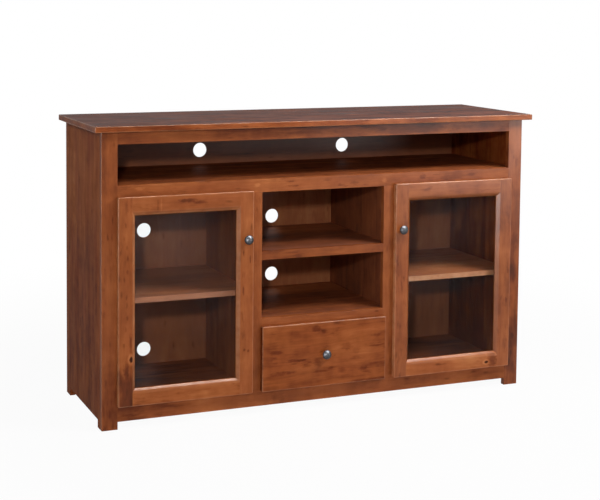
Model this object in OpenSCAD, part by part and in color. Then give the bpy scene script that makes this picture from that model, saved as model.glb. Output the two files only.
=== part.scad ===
// A wide media cabinet: a slot under the top, two glass doors, and two cubbies over a drawer between them.
// X runs along the width, the front faces -Y and Z is up. The origin is on the floor, in the middle of it all.

/* [Cabinet] */
// Width over the two side panels
body_w = 1524; // [1300:1:1800]
// Height of the top surface above the floor
body_h = 965; // [900:1:1100]
// Depth from the front of the face frame to the back
body_d = 457; // [400:1:600]
// Thickness of the sides, decks, partitions and shelves
board_t = 18; // [16:1:22]
// Thickness of the back panels
back_t = 6; // [4:0.5:9]
// Height of the feet, below the bottom rail and the cut-outs of the sides
foot_h = 25; // [15:1:45]
// Depth of each foot from front to back
foot_d = 48; // [35:1:80]
// Depth of the grooves that hold the decks and partitions
housing = 6; // [3:0.5:7]
// How far the bottom panel lies below the top edge of the bottom rail
bottom_lip = 10; // [4:1:20]
// Cross-section of the square cleats under the top
cleat = 20; // [14:1:30]

/* [Top] */
// Thickness of the top
top_t = 19; // [16:1:30]
// Overhang of the top past each side
overhang_side = 26; // [5:1:50]
// Overhang of the top past the face frame
overhang_front = 25; // [5:1:50]

/* [Face frame] */
// Thickness of the face frame
frame_t = 19; // [16:1:24]
// Width of the two outer stiles
stile_w = 52; // [44:1:80]
// Width of the two middle stiles
mid_stile_w = 40; // [36:1:60]
// Clear width of the centre bay
centre_w = 444; // [380:1:520]
// Height of the top rail
top_rail_h = 40; // [30:1:60]
// Clear height of the media slot
media_h = 129; // [100:1:180]
// Height of the rail under the media slot
mid_rail_h = 43; // [34:1:60]
// Clear height of the lower cubby
cubby_h = 194; // [160:1:230]
// Height of the rail between the cubbies
shelf_rail_h = 28; // [22:1:40]
// Height of the rail over the drawer
drawer_rail_h = 32; // [24:1:45]
// Clear height of the drawer opening
drawer_opening_h = 201; // [185:1:240]
// Height of the bottom rail
bottom_rail_h = 58; // [48:1:80]
// Length of the stub tenons
tenon_l = 20; // [12:1:22]
// Thickness of the stub tenons
tenon_t = 7; // [5:0.5:9]
// Shoulder above and below each tenon
shoulder = 6; // [4:0.5:8]
// How far the partitions stand back from the edges of the centre opening
partition_set = 14; // [10:1:20]

/* [Doors and drawer front] */
// Thickness of the doors and the drawer front
door_t = 18; // [16:0.5:22]
// Gap between the face frame and the doors
front_gap = 2; // [1.8:0.1:2.5]
// How far doors and drawer front lap the frame at the sides
side_lap = 4; // [3.5:0.1:5]
// How far doors and drawer front lap the frame at top and bottom
end_lap = 8; // [7:0.5:9]
// Width of the door stiles
door_stile_w = 57; // [54:1:75]
// Height of the top rail of a door
door_top_rail_h = 60; // [45:1:80]
// Height of the bottom rail of a door
door_bottom_rail_h = 56; // [45:1:80]
// Width and depth of the bevel around the glass
bevel = 10; // [6:0.5:11]
// Depth of the glass rabbet from the back of the door
rabbet_d = 6; // [5:0.5:7]
// Width of the glass rabbet
rabbet_w = 8; // [6:0.5:10]
// Thickness of the glass
glass_t = 3; // [2:0.5:4]

/* [Knobs] */
// Diameter of the knobs
knob_d = 31; // [24:1:38]
// How far a knob stands out from the wood
knob_reach = 26; // [22:1:34]
// Diameter of the foot of a knob
knob_foot_d = 17; // [14:0.5:22]
// Diameter of the neck of a knob
knob_neck_d = 11; // [8:0.5:13]
// Distance of a door knob below the top of the door
knob_down = 156; // [90:1:300]

/* [Shelves] */
// Height of the lowest pin holes above the floor
pin_first_z = 290; // [240:1:310]
// Spacing of the pin holes
pin_pitch = 51; // [32:1:60]
// Number of pin holes in each row
pin_count = 5; // [3:1:6]
// Hole that carries the shelf, counted from the lowest one as 0
pin_used = 2; // [0:1:2]
// Diameter of the shelf pins
pin_d = 5; // [4:0.5:8]
// Distance of the pins from the front and back edges of the shelf
pin_inset = 28; // [15:1:80]
// How far a shelf stays clear of the boards around it
shelf_play = 1.5; // [1:0.1:3]

/* [Wire holes] */
// Diameter of the wire holes
wire_d = 51; // [30:1:60]
// Distance of the media slot's wire holes from the middle
wire_x_media = 279; // [200:1:400]
// Height of the wire holes above the deck of the media slot
wire_z_media = 49; // [40:1:80]
// Height of the wire hole above the floor of the upper cubby
wire_z_cubby_upper = 37; // [32:1:90]
// Height of the wire hole above the floor of the lower cubby
wire_z_cubby_lower = 46; // [32:1:90]
// Height of the upper wire holes of the door bays above the shelf
wire_z_upper = 137; // [60:1:180]
// Height of the lower wire holes of the door bays above the bottom panel
wire_z_lower = 53; // [40:1:120]

/* [Drawer] */
// Thickness of the boards of the drawer box
box_t = 12; // [10:1:15]
// Height of the drawer box
box_h = 150; // [110:1:160]
// Height of the drawer box above the bottom rail
box_lift = 15; // [10:1:20]
// Thickness of the drawer bottom
box_bottom_t = 6; // [4:0.5:9]
// Space for a slide between the box and the spacer
slide_space = 13; // [12:0.5:16]
// Height of the slides
slide_h = 45; // [35:1:55]
// Metal thickness of the slides
slide_t = 1.2; // [1:0.1:2]
// Running clearance between the two halves of a slide
slide_play = 0.3; // [0.2:0.05:0.6]

/* [Hinges] */
// Diameter of the hinge cups
cup_d = 35; // [26:1:38]
// Depth of the hinge cups
cup_depth = 11.5; // [11:0.5:13]
// Distance of the cup from the edge of the door
cup_edge = 4; // [3.5:0.1:5]
// Distance of the hinges from the ends of the door
hinge_inset = 90; // [70:1:160]

/* [Screws] */
// Shank diameter of the large screws
screw_d = 4; // [3:0.5:5]
// Shank diameter of the small screws
small_screw_d = 3; // [2:0.5:3.5]

/* [Hidden] */

round_fn = 64;
// Clearance of tenons, grooves and cups that are glued or pressed in
joint_fit = 0.1;
// Clearance around a screw or pin
hole_fit = 0.05;

half_w = body_w / 2;
carcass_h = body_h - top_t;
// Y of the front of the face frame, so that the knobs and the back are equally far from the origin
frame_y = (front_gap + door_t + knob_reach - body_d) / 2;

// Heights, from the floor up and from the top down
opening_z = foot_h + bottom_rail_h;
bottom_z = opening_z - bottom_lip;
drawer_top_z = opening_z + drawer_opening_h;
cubby_z = drawer_top_z + drawer_rail_h;
shelf_rail_z = cubby_z + cubby_h;
shelf_z = shelf_rail_z + shelf_rail_h;
media_top_z = carcass_h - top_rail_h;
deck_z = media_top_z - media_h;
opening_top_z = deck_z - mid_rail_h;

// Faces along X, to the right of the middle
centre_x = centre_w / 2;
bay_x = centre_x + mid_stile_w;
stile_x = half_w - stile_w;
part_in_x = centre_x + partition_set;
part_out_x = part_in_x + board_t;
side_in_x = half_w - board_t;
part_mid_x = part_in_x + board_t / 2;
rabbet_x = side_in_x + board_t / 2;

// Faces along Y, from the front of the face frame
back_y = body_d - back_t;
deck_mid_z = deck_z - board_t / 2;

// Doors and drawer front
door_z = opening_z - end_lap;
door_h = opening_top_z + end_lap - door_z;
door_w = stile_x - bay_x + 2 * side_lap;
door_edge_x = stile_x + side_lap;
front_w = centre_w + 2 * side_lap;
front_h = drawer_opening_h + 2 * end_lap;
flat_w = door_stile_w - bevel;
knob_z = door_z + door_h - knob_down;
drawer_knob_z = door_z + front_h / 2;
hinge_zs = [door_z + hinge_inset, door_z + door_h - hinge_inset];
cup_x = cup_edge + cup_d / 2;

// Shelves
shelf_front_y = frame_t + 2 * shelf_play;
shelf_back_y = back_y - shelf_play;
pin_ys = [shelf_front_y + pin_inset, shelf_back_y - pin_inset];
pin_z = pin_first_z + pin_used * pin_pitch;
loose_shelf_z = pin_z + pin_d / 2 + hole_fit;
pin_in = board_t / 2;
pin_out = 8;

// Drawer box
box_x = centre_x - slide_space;
box_z = opening_z + box_lift;
box_y = -front_gap;
box_back_y = back_y - 53;
slide_z = box_z + box_h / 2;
slide_y = 3;
slide_lip = 0.7 * slide_space;

// Screws
head_d = 2 * screw_d;
head_h = 0.6 * screw_d;
small_head_d = 2 * small_screw_d;

// A board between two faces along each axis, with Y counted from the front of the face frame
module board(x, y, z) {
    translate([x[0], frame_y + y[0], z[0]])
        cube([x[1] - x[0], y[1] - y[0], z[1] - z[0]]);
}

// A place given by its distance from the middle, the face frame and the floor
module at(x, y, z) {
    translate([x, frame_y + y, z]) children();
}

// The same thing on the left, or mirrored to the right
module on_side(side) {
    if (side == "right") mirror([1, 0, 0]) children();
    else children();
}

// Left and right at once
module both_sides() {
    on_side("left") children();
    on_side("right") children();
}

// A round bar along +Z, its end at the origin
module bar(d, l, grow = 0) {
    cylinder(d = d + 2 * grow, h = l, $fn = round_fn);
}

// A countersunk screw along +Z with its flat head at the origin, or with grow the hole for it
module flat_screw(d, l, grow = 0) {
    bar(d, l + grow, grow);
    cylinder(d1 = 2 * d + 2 * grow, d2 = d + 2 * grow, h = 0.6 * d, $fn = round_fn);
}

// A pan-head screw along +Z: the head lies below the origin
module pan_screw(d, l) {
    bar(d, l);
    translate([0, 0, -0.5 * d]) cylinder(d = 2 * d, h = 0.5 * d, $fn = round_fn);
}

// Face frame

// A stub tenon that leaves x towards +X for a positive way and towards -X for a negative one
module tenon_x(x, way, z, grow = 0) {
    reach = way * (tenon_l + 5 * grow);
    board([min(x, x + reach), max(x, x + reach)],
          [(frame_t - tenon_t) / 2 - grow, (frame_t + tenon_t) / 2 + grow],
          [z[0] + shoulder - grow, z[1] - shoulder + grow]);
}

// A stub tenon that leaves z upwards or downwards, at a middle stile
module tenon_z(x, z, way, grow = 0) {
    reach = way * (tenon_l + 5 * grow);
    board([x[0] + shoulder - grow, x[1] - shoulder + grow],
          [(frame_t - tenon_t) / 2 - grow, (frame_t + tenon_t) / 2 + grow],
          [min(z, z + reach), max(z, z + reach)]);
}

function outer_rails() = [
    [media_top_z, carcass_h],
    [opening_top_z, deck_z],
    [foot_h, opening_z]
];

function centre_rails() = [
    [shelf_rail_z, shelf_z],
    [drawer_top_z, cubby_z]
];

module rail(half, z) {
    board([-half, half], [0, frame_t], z);
    tenon_x(half, 1, z);
    tenon_x(-half, -1, z);
}

module frame_stile(side) {
    color("#9c5a38") on_side(side) difference() {
        board([-half_w, -stile_x], [0, frame_t], [0, carcass_h]);
        for (z = outer_rails()) tenon_x(-stile_x, -1, z, joint_fit);
        at_hinge_screws() flat_screw(small_screw_d, hinge_screw_l, hole_fit);
    }
}

mid_stile = [-bay_x, -centre_x];

module frame_stile_mid(side) {
    color("#9a5636") on_side(side) {
        difference() {
            board(mid_stile, [0, frame_t], [opening_z, opening_top_z]);
            for (z = centre_rails()) tenon_x(-centre_x, -1, z, joint_fit);
        }
        tenon_z(mid_stile, opening_top_z, 1);
        tenon_z(mid_stile, opening_z, -1);
    }
}

module frame_rail_top() {
    color("#a5613c") rail(stile_x, outer_rails()[0]);
}

module frame_rail_middle() {
    color("#a5613c") difference() {
        rail(stile_x, outer_rails()[1]);
        both_sides() tenon_z(mid_stile, opening_top_z, 1, joint_fit);
    }
}

module frame_rail_bottom() {
    color("#8a4c2c") difference() {
        rail(stile_x, outer_rails()[2]);
        both_sides() tenon_z(mid_stile, opening_z, -1, joint_fit);
    }
}

module frame_rail_shelf() {
    color("#a5613c") rail(centre_x, centre_rails()[0]);
}

module frame_rail_drawer() {
    color("#a5613c") rail(centre_x, centre_rails()[1]);
}

// Top, sides and fixed boards

module top() {
    color("#7a5a50") difference() {
        board([-half_w - overhang_side, half_w + overhang_side],
              [-overhang_front, body_d], [carcass_h, body_h]);
        at_top_screws() flat_screw(screw_d, top_screw_l, hole_fit);
    }
}

// Holes for shelf pins, drilled towards +X from the face at x
module pin_holes(x) {
    for (y = pin_ys, i = [0 : pin_count - 1])
        at(x, y, pin_first_z + i * pin_pitch) rotate([0, 90, 0]) bar(pin_d, pin_in + 1, hole_fit);
}

module side_panel(side) {
    color("#6e4433") on_side(side) difference() {
        board([-half_w, -side_in_x], [frame_t, body_d], [0, carcass_h]);
        board([-half_w - 1, -side_in_x + 1], [foot_d, body_d - foot_d], [-1, foot_h]);
        board([-rabbet_x, -side_in_x + 1], [back_y, body_d + 1], [bottom_z - board_t, carcass_h + 1]);
        for (z = [deck_z, bottom_z])
            board([-side_in_x - housing, -side_in_x + 1], [frame_t - 1, back_y + 1], [z - board_t, z]);
        mirror([1, 0, 0]) pin_holes(side_in_x - 1);
        at_back_screws() flat_screw(small_screw_d, back_screw_l, hole_fit);
    }
}

module upper_deck() {
    half = side_in_x + housing;
    color("#7a452c") difference() {
        board([-half, half], [frame_t, back_y], [deck_z - board_t, deck_z]);
        both_sides()
            board([-part_out_x, -part_in_x], [frame_t - 1, back_y + 1],
                  [deck_z - board_t - 1, deck_z - board_t + housing]);
        at_back_screws() flat_screw(small_screw_d, back_screw_l, hole_fit);
    }
}

module bottom_panel() {
    half = side_in_x + housing;
    color("#7a452c") difference() {
        board([-half, half], [frame_t, back_y], [bottom_z - board_t, bottom_z]);
        both_sides()
            board([-part_out_x, -part_in_x], [frame_t - 1, back_y + 1], [bottom_z - housing, bottom_z + 1]);
    }
}

module partition(side) {
    color("#6b3c28") on_side(side) difference() {
        board([-part_out_x, -part_in_x], [frame_t, back_y],
              [bottom_z - housing, deck_z - board_t + housing]);
        for (z = [shelf_z, cubby_z])
            board([-part_in_x - housing, -part_in_x + 1], [frame_t - 1, back_y + 1], [z - board_t, z]);
        pin_holes(-part_out_x - 1);
        at_back_screws() flat_screw(small_screw_d, back_screw_l, hole_fit);
        at_slide_screws() bar(small_screw_d, slide_screw_l, hole_fit);
    }
}

module centre_board(z) {
    half = part_in_x + housing;
    color("#7a452c") board([-half, half], [frame_t, back_y], [z - board_t, z]);
}

module centre_shelf() {
    centre_board(shelf_z);
}

module drawer_deck() {
    centre_board(cubby_z);
}

module top_cleats() {
    color("#8a5a3c") difference() {
        for (y = [frame_t, back_y - cleat])
            board([-side_in_x, side_in_x], [y, y + cleat], [carcass_h - cleat, carcass_h]);
        at_top_screws() flat_screw(screw_d, top_screw_l, hole_fit);
        at_back_screws() flat_screw(small_screw_d, back_screw_l, hole_fit);
    }
}

// Back, one panel for the media slot and one for each bay

module wire_hole(x, z) {
    at(x, back_y - 1, z) rotate([-90, 0, 0]) bar(wire_d, back_t + 2);
}

module back_panel(x, z, holes) {
    color("#5c3424") difference() {
        board(x, [back_y, body_d], z);
        for (p = holes) wire_hole(p[0], p[1]);
        at_back_screws() flat_screw(small_screw_d, back_screw_l, hole_fit);
    }
}

lower_back_z = [bottom_z - board_t, deck_mid_z];
bay_mid_x = (stile_x + bay_x) / 2;
bay_hole_zs = [loose_shelf_z + board_t + wire_z_upper, bottom_z + wire_z_lower];

module back_upper() {
    z = deck_z + wire_z_media;
    back_panel([-rabbet_x, rabbet_x], [deck_mid_z, carcass_h], [[-wire_x_media, z], [wire_x_media, z]]);
}

module back_bay(side) {
    on_side(side)
        back_panel([-rabbet_x, -part_mid_x], lower_back_z, [for (z = bay_hole_zs) [-bay_mid_x, z]]);
}

module back_centre() {
    back_panel([-part_mid_x, part_mid_x], lower_back_z,
               [[0, shelf_z + wire_z_cubby_upper], [0, cubby_z + wire_z_cubby_lower]]);
}

// Screws of the cabinet

// Length of the screws that go up through the cleats into the top
top_screw_l = cleat + 0.7 * top_t;
back_screw_l = 18;
hinge_screw_l = 18;
slide_screw_l = partition_set + board_t / 2;
screw_edge = board_t / 4;

module at_top_screws() {
    for (x = [-0.8, -0.27, 0.27, 0.8], y = [frame_t + cleat / 2, back_y - cleat / 2])
        at(x * side_in_x, y, carcass_h - cleat) children();
}

// Screws along the edges of the back panels, driven from behind
module at_back_screws() {
    lower_zs = [lower_back_z[0] + 60, (lower_back_z[0] + lower_back_z[1]) / 2, lower_back_z[1] - 60];
    xs = [rabbet_x - screw_edge, part_mid_x + screw_edge, part_mid_x - screw_edge];
    for (x = xs, z = lower_zs, way = [-1, 1])
        at(way * x, body_d, z) rotate([90, 0, 0]) children();
    for (x = [-0.66, 0, 0.66]) {
        at(x * side_in_x, body_d, carcass_h - cleat / 2) rotate([90, 0, 0]) children();
        at(x * side_in_x, body_d, deck_z - screw_edge) rotate([90, 0, 0]) children();
    }
}

// Screws that hold the hinge plates to the edge of the left outer stile
module at_hinge_screws() {
    for (z = hinge_zs, dz = [-1, 1])
        at(-stile_x + plate_t, plate_y, z + dz * plate_screw_z) rotate([0, -90, 0]) children();
}

// Screws that hold the cabinet slides to the left spacer and partition
module at_slide_screws() {
    for (y = [0.15, 0.85])
        at(-centre_x + slide_t, slide_y + y * (box_back_y - slide_y), slide_z)
            rotate([0, -90, 0]) children();
}

module cabinet_screws() {
    color("#b9bcc0") {
        at_top_screws() flat_screw(screw_d, top_screw_l);
        at_back_screws() flat_screw(small_screw_d, back_screw_l);
        both_sides() {
            at_hinge_screws() flat_screw(small_screw_d, hinge_screw_l);
            at_slide_screws() pan_screw(small_screw_d, slide_screw_l);
        }
    }
}

// Loose shelves and their pins

module loose_shelf(side) {
    color("#8f5332") on_side(side)
        board([-side_in_x + shelf_play, -part_out_x - shelf_play],
              [shelf_front_y, shelf_back_y], [loose_shelf_z, loose_shelf_z + board_t]);
}

module shelf_pins() {
    color("#c9ccd0") both_sides() for (y = pin_ys) {
        at(-side_in_x - pin_in, y, pin_z) rotate([0, 90, 0]) bar(pin_d, pin_in + pin_out);
        at(-part_out_x - pin_out, y, pin_z) rotate([0, 90, 0]) bar(pin_d, pin_in + pin_out);
    }
}

// Slides

module slide_spacers() {
    color("#8a5a3c") both_sides() difference() {
        board([-part_in_x, -centre_x], [frame_t, back_y],
              [slide_z - slide_h / 2 - 5, slide_z + slide_h / 2 + 5]);
        at_slide_screws() bar(small_screw_d, slide_screw_l, hole_fit);
    }
}

// A C-shaped rail: its web stands on x, its lips reach towards the drawer or away from it
module slide_rail(x, way, h) {
    y = [slide_y, box_back_y];
    web = way * slide_t;
    lip = way * slide_lip;
    board([min(x, x + web), max(x, x + web)], y, [slide_z - h / 2, slide_z + h / 2]);
    for (z = [slide_z - h / 2, slide_z + h / 2 - slide_t])
        board([min(x, x + lip), max(x, x + lip)], y, [z, z + slide_t]);
}

module cabinet_slides() {
    color("#c3c6c9") both_sides() difference() {
        slide_rail(-centre_x, 1, slide_h);
        at_slide_screws() translate([0, 0, -slide_t]) bar(small_screw_d, 4 * slide_t, hole_fit);
    }
}

inner_slide_h = slide_h - 2 * slide_t - 2 * slide_play;

module drawer_slides() {
    color("#c3c6c9") both_sides() difference() {
        slide_rail(-box_x, -1, inner_slide_h);
        at_box_slide_screws() translate([0, 0, -slide_t]) bar(small_screw_d, 4 * slide_t, hole_fit);
    }
}

// Hinges

plate_t = 1.5;
plate_h = 44;
plate_screw_z = 15;
// The plate spans this much of the stile's edge, behind its front face
plate_w = frame_t - 3;
plate_y = frame_t / 2 + 1;
// Pivot of the link, from the hinge edge of the door and behind the front of the face frame
pivot_in = side_lap + 6;
pivot_back = 2;
pivot_d = 3;
link_h = 8;
ear_t = 1.6;
ear_gap = 0.3;
// Outline of the link as seen from above, counted from its pivot: a bent strap that reaches into the cup
link_t = 1.8;
link_path = [[0, 0], [4, -3], [10, -3], [15, 0], [16.5, 5], [15.5, 11.5]];

// Direction of a path at its point i, and from there how far the edge of a strap of thickness 2 lies to its left
function way_at(path, i) = (path[i + 1] - path[i]) / norm(path[i + 1] - path[i]);
function edge_at(path, i) =
    let (a = way_at(path, max(i - 1, 0)), b = way_at(path, min(i, len(path) - 2)))
    [-a[1] - b[1], a[0] + b[0]] / (1 + a * b);

// A strap of even thickness along the points of a path, seen from above
module strap(path, t) {
    last = len(path) - 1;
    polygon(concat(
        [for (i = [0 : last]) path[i] - edge_at(path, i) * t / 2],
        [for (i = [last : -1 : 0]) path[i] + edge_at(path, i) * t / 2]));
}

// The left door's own corner: X from its hinge edge, -Y out of the face frame
module at_left_door() {
    at(-door_edge_x, 0, 0) children();
}

module hinge_plates() {
    color("#c3c6c9") both_sides() {
        difference() {
            for (z = hinge_zs)
                board([-stile_x, -stile_x + plate_t], [plate_y - plate_w / 2, plate_y + plate_w / 2],
                      [z - plate_h / 2, z + plate_h / 2]);
            at_hinge_screws() flat_screw(small_screw_d, hinge_screw_l, hole_fit);
        }
        at_left_door() for (z = hinge_zs) {
            for (way = [-1, 1])
                translate([side_lap + plate_t, pivot_back - 2, z + way * (link_h / 2 + ear_gap + ear_t / 2)])
                    translate([0, 0, -ear_t / 2])
                        cube([pivot_in - side_lap - plate_t + 2.5, 9, ear_t]);
            translate([pivot_in, pivot_back, z - link_h / 2 - ear_gap]) bar(pivot_d, link_h + 2 * ear_gap);
        }
    }
}

module hinge_links(side) {
    color("#c3c6c9") on_side(side) at_left_door() for (z = hinge_zs)
        translate([pivot_in, pivot_back, z - link_h / 2]) difference() {
            union() {
                linear_extrude(link_h) mirror([0, 1]) strap(link_path, link_t);
                bar(pivot_d + 3, link_h);
            }
            translate([0, 0, -1]) bar(pivot_d, link_h + 2, hole_fit);
        }
}

cup_wall = 1.5;
flange_t = 1.2;
flange_w = 24;
flange_h = 56;
cup_screw_in = 9;
cup_screw_z = 23;

module at_cup_screws() {
    at_left_door() for (z = hinge_zs, dz = [-1, 1])
        translate([cup_x + cup_screw_in, -front_gap + flange_t, z + dz * cup_screw_z])
            rotate([90, 0, 0]) children();
}

module door_cups(side) {
    color("#c3c6c9") on_side(side) difference() {
        at_left_door() for (z = hinge_zs) translate([cup_x, -front_gap, z]) rotate([90, 0, 0])
            difference() {
                union() {
                    bar(cup_d, cup_depth);
                    translate([-flange_w / 2 + 4, -flange_h / 2, -flange_t])
                        cube([flange_w, flange_h, flange_t]);
                    translate([0, 0, -flange_t]) bar(cup_d - 1, flange_t + 1);
                }
                translate([0, 0, -flange_t - 1]) bar(cup_d - 2 * cup_wall, cup_depth + flange_t);
            }
        at_cup_screws() flat_screw(small_screw_d, cup_screw_l, hole_fit);
    }
}

cup_screw_l = 12;

// Doors

// Section of a stick, from its outer edge inwards and from its back to its front
module stick_section(w) {
    polygon([[0, 0], [w - rabbet_w, 0], [w - rabbet_w, rabbet_d], [w, rabbet_d],
             [w, door_t - bevel], [w - bevel, door_t], [0, door_t]]);
}

// A stile at the left edge of the door, as long as the door
module stick_stile() {
    at(0, -front_gap, door_z) mirror([0, 1, 0]) linear_extrude(door_h) stick_section(door_stile_w);
}

module hinge_stile_place() {
    translate([-door_edge_x, 0, 0]) children();
}

module knob_stile_place() {
    translate([-door_edge_x + door_w, 0, 0]) mirror([1, 0, 0]) children();
}

module door_hinge_stile(side) {
    color("#a5613c") on_side(side) difference() {
        hinge_stile_place() stick_stile();
        at_left_door() for (z = hinge_zs) translate([cup_x, -front_gap + 1, z]) rotate([90, 0, 0])
            bar(cup_d, cup_depth + 1, joint_fit);
        at_cup_screws() flat_screw(small_screw_d, cup_screw_l, hole_fit);
    }
}

// Knob screws: the middle of the flat part of the knob stile
door_knob_x = -door_edge_x + door_w - flat_w / 2;
knob_screw_in = 12;

module door_knob_stile(side) {
    color("#a5613c") on_side(side) difference() {
        knob_stile_place() stick_stile();
        at(door_knob_x, 1, knob_z) rotate([90, 0, 0]) bar(screw_d, door_t + front_gap + 2, 2 * hole_fit);
    }
}

// A rail between the bevels of the stiles, with its ends cut to their shape
module door_rail(side, h, at_top) {
    color("#a8643e") on_side(side) difference() {
        at(-door_edge_x + flat_w, -front_gap, at_top ? door_z + door_h : door_z)
            mirror([0, 0, at_top ? 1 : 0])
                multmatrix([[0, 0, 1, 0], [0, -1, 0, 0], [1, 0, 0, 0], [0, 0, 0, 1]])
                    linear_extrude(door_w - 2 * flat_w) stick_section(h);
        hinge_stile_place() stick_stile();
        knob_stile_place() stick_stile();
    }
}

glass_lap = rabbet_w - 1;
pane_x = [-door_edge_x + door_stile_w, -door_edge_x + door_w - door_stile_w];
pane_z = [door_z + door_bottom_rail_h, door_z + door_h - door_top_rail_h];

module door_glass(side) {
    color([0.75, 0.82, 0.82, 0.4]) on_side(side)
        board([pane_x[0] - glass_lap, pane_x[1] + glass_lap],
              [-front_gap - rabbet_d, -front_gap - rabbet_d + glass_t],
              [pane_z[0] - glass_lap, pane_z[1] + glass_lap]);
}

// Four strips behind the glass, the upright ones between the level ones
module door_beads(side) {
    y = [-front_gap - rabbet_d + glass_t, -front_gap];
    w = glass_lap;
    color("#8f5332") on_side(side) {
        for (z = [pane_z[0] - w, pane_z[1]])
            board([pane_x[0] - w, pane_x[1] + w], y, [z, z + w]);
        for (x = [pane_x[0] - w, pane_x[1]])
            board([x, x + w], y, [pane_z[0] + joint_fit, pane_z[1] - joint_fit]);
    }
}

// A turned mushroom knob on its axis, its foot at the origin
module knob() {
    rim_z = 0.56 * knob_reach;
    rise = knob_reach - rim_z;
    dome_r = (pow(knob_d / 2, 2) + pow(rise, 2)) / (2 * rise);
    difference() {
        rotate_extrude($fn = 96) {
            polygon([[0, 0], [knob_foot_d / 2, 0], [knob_foot_d / 2, 1.5], [knob_neck_d / 2, 4],
                     [knob_neck_d / 2, 0.33 * knob_reach], [0.46 * knob_d, rim_z - 1.5],
                     [knob_d / 2, rim_z], [0, rim_z]]);
            intersection() {
                translate([0, knob_reach - dome_r]) circle(dome_r, $fn = 96);
                translate([0, rim_z - 0.01]) square([knob_d / 2, rise + 1]);
            }
        }
        translate([0, 0, -1]) bar(screw_d, knob_screw_in + 2, hole_fit);
    }
}

module at_door_knob() {
    at(door_knob_x, -front_gap - door_t, knob_z) rotate([90, 0, 0]) children();
}

module door_knob(side) {
    color("#3c3a38") on_side(side) at_door_knob() knob();
}

module door_screws(side) {
    color("#b9bcc0") on_side(side) {
        at_cup_screws() flat_screw(small_screw_d, cup_screw_l);
        at_door_knob() translate([0, 0, -door_t]) pan_screw(screw_d, door_t + knob_screw_in);
    }
}

// Soft discs on the face frame that doors and drawer front close against
module bumpers() {
    thick = front_gap - 0.3;
    color("#d8d6cf") both_sides() {
        for (z = [opening_top_z + end_lap / 2, opening_z - end_lap / 2])
            at(-bay_x - 30, 0, z) rotate([90, 0, 0]) bar(0.8 * end_lap, thick);
        for (z = [drawer_top_z + end_lap / 2, opening_z - end_lap / 2])
            at(-centre_x + 30, 0, z) rotate([90, 0, 0]) bar(0.8 * end_lap, thick);
    }
}

// Drawer

box_in_x = box_x - box_t;
groove = box_t / 2;
box_bottom_z = box_z + 10;
front_y = -front_gap - door_t;
front_screw_xs = [-0.6 * box_in_x, 0.6 * box_in_x];
front_screw_zs = [box_z + 0.25 * box_h, box_z + 0.75 * box_h];
front_screw_l = box_t + 0.65 * door_t;

module at_front_screws() {
    for (x = front_screw_xs, z = front_screw_zs)
        at(x, box_y + box_t, z) rotate([90, 0, 0]) children();
}

module at_drawer_knob() {
    at(0, front_y, drawer_knob_z) rotate([90, 0, 0]) children();
}

module at_box_slide_screws() {
    for (y = [0.25, 0.75])
        at(-box_x - slide_t, slide_y + y * (box_back_y - slide_y), slide_z)
            rotate([0, 90, 0]) children();
}

module drawer_front() {
    color("#a5613c") difference() {
        board([-front_w / 2, front_w / 2], [front_y, -front_gap], [door_z, door_z + front_h]);
        at_front_screws() bar(small_screw_d, front_screw_l, hole_fit);
        at_drawer_knob() translate([0, 0, -door_t - 1]) bar(screw_d, door_t + 2, 2 * hole_fit);
    }
}

// The groove for the drawer bottom, or with no grow the bottom itself
module bottom_sheet(grow = 0) {
    edge = groove - 0.5 + 5 * grow;
    board([-box_in_x - edge, box_in_x + edge], [box_y + box_t - edge, box_back_y - box_t + edge],
          [box_bottom_z, box_bottom_z + box_bottom_t + grow]);
}

module drawer_box_front() {
    color("#c9a57c") difference() {
        board([-box_in_x, box_in_x], [box_y, box_y + box_t], [box_z, box_z + box_h]);
        bottom_sheet(joint_fit);
        at_front_screws() bar(small_screw_d, front_screw_l, hole_fit);
        at_drawer_knob() translate([0, 0, -door_t - box_t - 1]) bar(screw_d, box_t + 2, 2 * hole_fit);
    }
}

module drawer_side(side) {
    color("#c9a57c") on_side(side) difference() {
        board([-box_x, -box_in_x], [box_y, box_back_y], [box_z, box_z + box_h]);
        bottom_sheet(joint_fit);
        at_box_slide_screws() bar(small_screw_d, box_slide_screw_l, hole_fit);
    }
}

box_slide_screw_l = slide_t + 0.8 * box_t;

module drawer_back() {
    color("#c9a57c") difference() {
        board([-box_in_x, box_in_x], [box_back_y - box_t, box_back_y], [box_z, box_z + box_h]);
        bottom_sheet(joint_fit);
    }
}

module drawer_bottom() {
    color("#d4b58e") bottom_sheet();
}

module drawer_knob() {
    color("#3c3a38") at_drawer_knob() knob();
}

module drawer_screws() {
    color("#b9bcc0") {
        at_front_screws() pan_screw(small_screw_d, front_screw_l);
        at_drawer_knob() translate([0, 0, -door_t - box_t])
            pan_screw(screw_d, door_t + box_t + knob_screw_in);
        both_sides() at_box_slide_screws() pan_screw(small_screw_d, box_slide_screw_l);
    }
}

top();
side_panel("left");  // side_left
side_panel("right");  // side_right
frame_stile("left");  // frame_stile_left
frame_stile("right");  // frame_stile_right
frame_stile_mid("left");  // frame_stile_mid_left
frame_stile_mid("right");  // frame_stile_mid_right
frame_rail_top();
frame_rail_middle();
frame_rail_bottom();
frame_rail_shelf();
frame_rail_drawer();
upper_deck();
bottom_panel();
partition("left");  // partition_left
partition("right");  // partition_right
centre_shelf();
drawer_deck();
back_upper();
back_bay("left");  // back_left
back_centre();
back_bay("right");  // back_right
top_cleats();
cabinet_screws();
loose_shelf("left");  // shelf_left
loose_shelf("right");  // shelf_right
shelf_pins();
slide_spacers();
cabinet_slides();
hinge_plates();
bumpers();
door_hinge_stile("left");  // left_door_hinge_stile
door_knob_stile("left");  // left_door_knob_stile
door_rail("left", door_top_rail_h, true);  // left_door_top_rail
door_rail("left", door_bottom_rail_h, false);  // left_door_bottom_rail
door_glass("left");  // left_door_glass
door_beads("left");  // left_door_beads
door_knob("left");  // left_door_knob
door_cups("left");  // left_door_cups
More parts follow.
